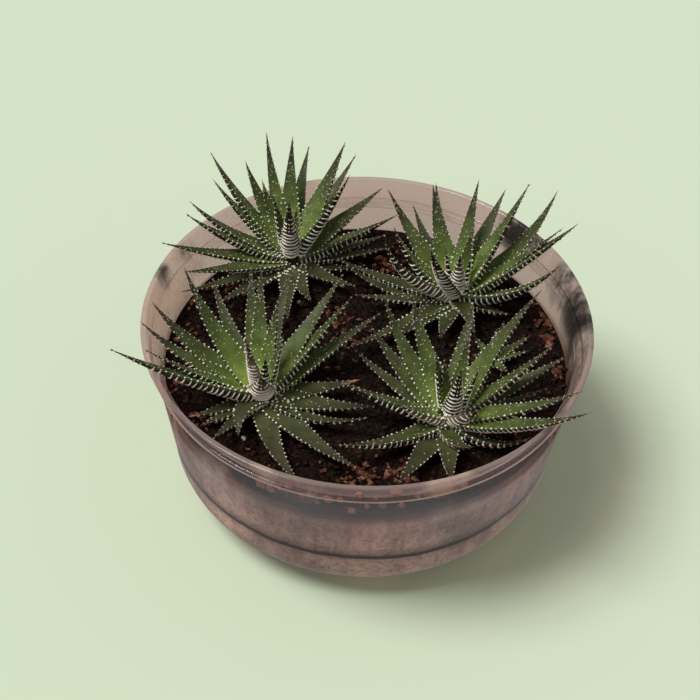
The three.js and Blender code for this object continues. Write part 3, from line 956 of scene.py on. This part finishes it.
def grow_leaf(plant, line, age, dry, pale):
    """Extrudes a ring of points along the leaf's sections and joins the leaf to its plant."""
    bm = bmesh.new()
    layers = bm.verts.layers.float
    around, along_share, under_share, age_share, dry_share, pale_share = (
        layers.new(name) for name in ("around", "along", "under", "age", "dry", "pale")
    )
    bmesh.ops.create_circle(bm, segments=LEAF_SIDES, radius=1)
    for vertex in bm.verts:
        vertex[around] = math.atan2(vertex.co.y, vertex.co.x)
        vertex[age_share] = age
        vertex[dry_share] = dry
        vertex[pale_share] = pale
    ring, edges = bm.verts[:], bm.edges[:]
    bmesh.ops.contextual_create(bm, geom=edges)
    for number, station in enumerate(line[:-1]):
        if number:
            grown = bmesh.ops.extrude_edge_only(bm, edges=edges)["geom"]
            ring = [item for item in grown if isinstance(item, bmesh.types.BMVert)]
            edges = [item for item in grown if isinstance(item, bmesh.types.BMEdge)]
        for vertex in ring:
            side, below = math.cos(vertex[around]), -math.sin(vertex[around])
            rise = section_rise(station.half, station.depth, side, below > UNDER_FROM)
            sideways, upwards = station.across * side * station.half, station.above * rise
            vertex.co = (station.spot + sideways + upwards) * MM
            vertex[along_share] = number / STATIONS
            vertex[under_share] = 0.5 + 0.5 * max(-1, min(1, below * UNDER_SHARPNESS))
    bmesh.ops.pointmerge(bm, verts=ring, merge_co=line[-1].spot * MM)
    bmesh.ops.recalc_face_normals(bm, faces=bm.faces)
    mesh = bpy.data.meshes.new("leaf")
    bm.to_mesh(mesh)
    bm.free()
    plant.from_mesh(mesh)
    bpy.data.meshes.remove(mesh)


def grow_stem(x, y, radius, top):
    """A rosette's stem, down into its hole in the soil, with the marks that the leaves have."""
    outline = (
        (0, STEM_FOOT), (STEM_FOOT_SHARE * radius, STEM_FOOT),
        (radius, STEM_FOOT + STEM_FOOT_TAPER), (radius, top - STEM_TOP_TAPER),
        (STEM_TOP_SHARE * radius, top), (0, top),
    )
    bm = turned([(out * MM, height * MM) for out, height in outline], STEM_SIDES)
    bmesh.ops.translate(bm, verts=bm.verts, vec=(x * MM, y * MM, 0))
    for key, value in STEM_MARKS.items():
        layer = bm.verts.layers.float.new(key)
        for vertex in bm.verts:
            vertex[layer] = value
    return bm


def read_marks(tree, *names):
    """The values that a piece's points carry under these names."""
    return [
        add_node(tree, "ShaderNodeAttribute", attribute_name=name).outputs["Fac"] for name in names
    ]


def leaf_material():
    """Green skin: bright near the heart, dull when old, dark below, cream on a pale claw."""
    material, tree, skin = begin_material("haworthia_leaf")
    place = object_place(tree)
    along, under, age, dry, pale = read_marks(tree, "along", "under", "age", "dry", "pale")
    colour = blended(tree, age, ramp(tree, along, YOUNG_COLOURS), ramp(tree, along, OLD_COLOURS))
    below = math_node(tree, "MULTIPLY", under, UNDER_COVER)
    colour = blended(tree, below, colour, ramp(tree, along, UNDER_COLOURS))
    clawed = math_node(tree, "MULTIPLY", under, pale)
    colour = blended(tree, clawed, colour, ramp(tree, along, CLAW_COLOURS))
    blotch = ramp(tree, speckle(tree, place, *BLOTCH_NOISE), BLOTCHES)
    grain = ramp(tree, speckle(tree, place, *SKIN_NOISE), SKIN_GRAIN)
    colour = shaded(tree, colour, blotch, grain)
    withered = math_node(tree, "MULTIPLY", dry, ramp(tree, along, WITHERED_PART))
    colour = blended(tree, withered, colour, WITHERED_COLOUR)
    tree.links.new(colour, skin.inputs["Base Color"])
    pores = add_node(tree, "ShaderNodeTexVoronoi", {"Vector": place, "Scale": PORE_SCALE})
    add_bump(tree, skin, pores.outputs["Distance"], PORE_BUMP, PORE_DEPTH)
    roughness = ramp(tree, speckle(tree, place, *ROUGHNESS_NOISE), SKIN_ROUGHNESS)
    tree.links.new(roughness, skin.inputs["Roughness"])
    skin.inputs["Specular IOR Level"].default_value = SKIN_SHINE
    return material


# The pearls: hard cream-white warts. On a leaf's underside they run together in raised cross
# bands, each with a tooth where it meets an edge. Towards the point the bands break up into
# short bars and dots, and finer pale dots are scattered over the upper face.
BAND_FIRST = 1.2
BAND_SPACING = (2.2, 2.9)
BAND_HALF = 0.60
BAND_HIGH = 0.40
BAND_SLIP = 0.7
SLIP_PITCH = 2.2
SLIP_SLICE = 0.3
KNOB_SIZE = 0.6
KNOB_PITCH = 5.5
KNOB_SLICE = 7.1
SPACING_SPREAD = (0.84, 1.16)
NARROW_SHARE = 0.72
FULL_WIDTH = 12
POINT_SHRINK = 0.36
WHOLE_UNTIL = (0.42, 0.64)
SPLIT_FOR = 0.24
WHOLE_BAND = ((-0.98, 0.98),)
SPLIT_BAND = ((-0.98, -0.34), (0.34, 0.98), (-0.12, 0.12))
FAR_BAND = ((-0.96, -0.66), (-0.14, 0.14), (0.66, 0.96))
SPLIT_KEPT = 1.1
SPLIT_LOST = 0.45
TOOTH = (0.58, 0.52, 0.44)
TOOTH_SIZE = (0.6, 1.45)
TOOTH_SHRINK = 0.3
DOT_SIZE = (0.14, 0.42)
DOT_HIGH = 0.6
DOT_AREA = 7
DOTS_WHEN_YOUNG = 1.15
DOT_FIRST = 0.04
DOT_SPAN = 0.86
DOT_SIDE = 0.86
FACE_SHARE = 0.5
STEP_AHEAD = 0.01
STEP_ACROSS = 0.05
POINT_BARE = 1.2
BOLD_UNTIL = 0.5
CREAM_COLOURS = (
    (0.0, (0.98, 0.95, 0.83)), (0.45, (0.93, 0.88, 0.73)), (0.75, (0.68, 0.58, 0.42)),
    (1.0, (0.28, 0.19, 0.12)),
)
DOT_COLOURS = ((0.0, (0.64, 0.72, 0.36)), (0.4, (0.60, 0.64, 0.42)), (1.0, (0.34, 0.31, 0.21)))
WEAR = ((0.3, 0.7), (0.6, 1.05))
WEAR_NOISE = (220, 3)
PEARL_ROUGHNESS = 0.55
PEARL_SHINE = 0.4
WELT_SIDES = 6
WELT_STEPS = 9


def skin_frame(line, along, side, under):
    """A point on the skin, with its directions onwards and outwards."""
    point = skin_point(line, along, side, under)
    ahead = (skin_point(line, along + STEP_AHEAD, side, under) - point).normalized()
    left, right = (
        skin_point(line, along, max(-1, min(1, side + step)), under)
        for step in (STEP_ACROSS, -STEP_ACROSS)
    )
    out = (left - right).cross(ahead) if under else (right - left).cross(ahead)
    return point, ahead, out.normalized()


def standing(point, *axes):
    """A matrix that sets a lump at a point, along three axes."""
    return Matrix((*((*axis, 0) for axis in axes), (*point, 1))).transposed()


def dot_at(line, along, side, size):
    """A matrix that sets a dot on the leaf's upper face, squarely to it."""
    point, ahead, out = skin_frame(line, along, side, False)
    return standing(point, ahead.cross(out) * size, ahead * size, out * size * DOT_HIGH)


def tooth_at(line, along, side, size):
    """A matrix that sets a tooth on the leaf's edge, pointing outwards."""
    station = line[int(along * STATIONS)]
    out = station.across * side
    return standing(
        skin_point(line, along, side, False), out * TOOTH[0] * size,
        station.forward * TOOTH[1] * size, station.above * TOOTH[2] * size,
    )


def markable(lump):
    """Readies a lump for the marks that its copies carry."""
    for key in ("along", "dot"):
        lump[0].attributes.new(key, "FLOAT", "POINT")
    return lump


def mark(mesh, along, dot):
    """Marks a pearl's mesh with its place along the leaf and its kind."""
    mesh.attributes["along"].data.foreach_set("value", [along] * len(mesh.vertices))
    mesh.attributes["dot"].data.foreach_set("value", [dot] * len(mesh.vertices))


def set_pearl(heap, matrix, along, dot):
    """Adds one pearl to the heap."""
    mark(pearl[0], along, dot)
    add_copy(heap, pearl, Matrix.Scale(MM, 4) @ matrix)


def lay_band(heap, line, reach, along, first, last, half, phase):
    """Bends a welt over the underside, between two shares of the leaf's half width."""
    mesh, corners = welt
    mark(mesh, along, 0)
    frames = {}
    for vertex, corner in zip(mesh.vertices, corners):
        key = round(corner.x, 3)
        if key not in frames:
            side = first + (last - first) * (corner.x + 1) / 2
            slip = BAND_SLIP * noise.noise(Vector((side * SLIP_PITCH, phase, SLIP_SLICE)))
            knobs = 1 + KNOB_SIZE * noise.noise(Vector((side * KNOB_PITCH, phase, KNOB_SLICE)))
            full = knobs * math.sqrt(1 + corner.x ** 2)
            frames[key] = (*skin_frame(line, along + slip / reach, side, True), full)
        point, ahead, out, full = frames[key]
        onwards, outwards = ahead * corner.y * half * full, out * corner.z * BAND_HIGH * full
        vertex.co = (point + onwards + outwards) * MM
    heap.from_mesh(mesh)


def set_pearls(heap, line, row, age, bold, dice):
    """All the pearls of one leaf."""
    reach, width = row[2], row[5]
    breadth = NARROW_SHARE + (1 - NARROW_SHARE) * min(1, width / FULL_WIDTH)
    whole = dice.uniform(*WHOLE_UNTIL)
    distance = BAND_FIRST
    while distance < reach - POINT_BARE:
        along = distance / reach
        bolder = 1 + (bold - 1) * max(0, 1 - along / BOLD_UNTIL)
        size = breadth * (1 - POINT_SHRINK * along)
        for side in (-1, 1):
            tooth = size * dice.uniform(*TOOTH_SIZE) * (1 - TOOTH_SHRINK * along)
            set_pearl(heap, tooth_at(line, along, side, tooth), along, 0)
        if along < whole:
            bands = WHOLE_BAND
        else:
            bands = SPLIT_BAND if along < whole + SPLIT_FOR else FAR_BAND
        half = BAND_HALF * size * bolder
        for first, last in bands:
            if bands is WHOLE_BAND or dice.random() < SPLIT_KEPT - SPLIT_LOST * along:
                lay_band(heap, line, reach, along, first, last, half, distance + reach)
        spacing = BAND_SPACING[0] + (BAND_SPACING[1] - BAND_SPACING[0]) * along
        distance += spacing / math.sqrt(bolder) * dice.uniform(*SPACING_SPREAD)
    for _ in range(int(reach * width * FACE_SHARE / DOT_AREA * (DOTS_WHEN_YOUNG - age))):
        along = DOT_FIRST + DOT_SPAN * dice.random()
        side = dice.uniform(-DOT_SIDE, DOT_SIDE)
        set_pearl(heap, dot_at(line, along, side, dice.uniform(*DOT_SIZE)), along, 1)


def pearl_material():
    """Hard cream, darker towards the leaf's point, and greener on the upper face's dots."""
    material, tree, surface = begin_material("cream_pearl")
    along, dot = read_marks(tree, "along", "dot")
    cream, green = ramp(tree, along, CREAM_COLOURS), ramp(tree, along, DOT_COLOURS)
    worn = ramp(tree, speckle(tree, object_place(tree), *WEAR_NOISE), WEAR)
    colour = shaded(tree, blended(tree, dot, cream, green), worn)
    tree.links.new(colour, surface.inputs["Base Color"])
    surface.inputs["Roughness"].default_value = PEARL_ROUGHNESS
    surface.inputs["Specular IOR Level"].default_value = PEARL_SHINE
    return material


bm = bmesh.new()
bmesh.ops.create_uvsphere(bm, u_segments=WELT_SIDES, v_segments=WELT_STEPS, radius=1)
bmesh.ops.rotate(bm, verts=bm.verts, matrix=Matrix.Rotation(math.pi / 2, 3, "Y"))
welt = markable(kept(bm))
pearl = markable(template(1, 0, 0))

# Each plant in turn: its stem and leaves stand in for the solid, and its pearls lie on them.
# A leaf has its age from its lift, because the leaves of a rosette lie down as they grow old.
# Bands are boldest on the pale claws at the hearts.
leaf_skin = leaf_material()
pearl_coat = pearl_material()
for name, (stem, youngest, tiers, bowed) in PLANTS.items():
    dice = random.Random(name)
    leaves, pearls = grow_stem(*stem), bmesh.new()
    for number, row in enumerate(leaf_rows(youngest, tiers, bowed)):
        line = leaf_line(stem, row)
        age = OFFSET_AGE if youngest is None else max(0, min(1, 1 - row[1] / OLD_BELOW))
        bold = BOLD_LEAVES[name].get(number, 1)
        dry = float(number in DRY_LEAVES[name])
        grow_leaf(leaves, line, age, dry, min(1, PALE_FOR_BOLD * (bold - 1)))
        set_pearls(pearls, line, row, age, bold, dice)
    short = name.replace("rosette_", "")
    piece = finished(short + "_leaves", leaves, leaf_skin)
    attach(piece, "root")
    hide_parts(name)
    piece = finished(short + "_pearls", pearls, pearl_coat)
    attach(piece, "root")
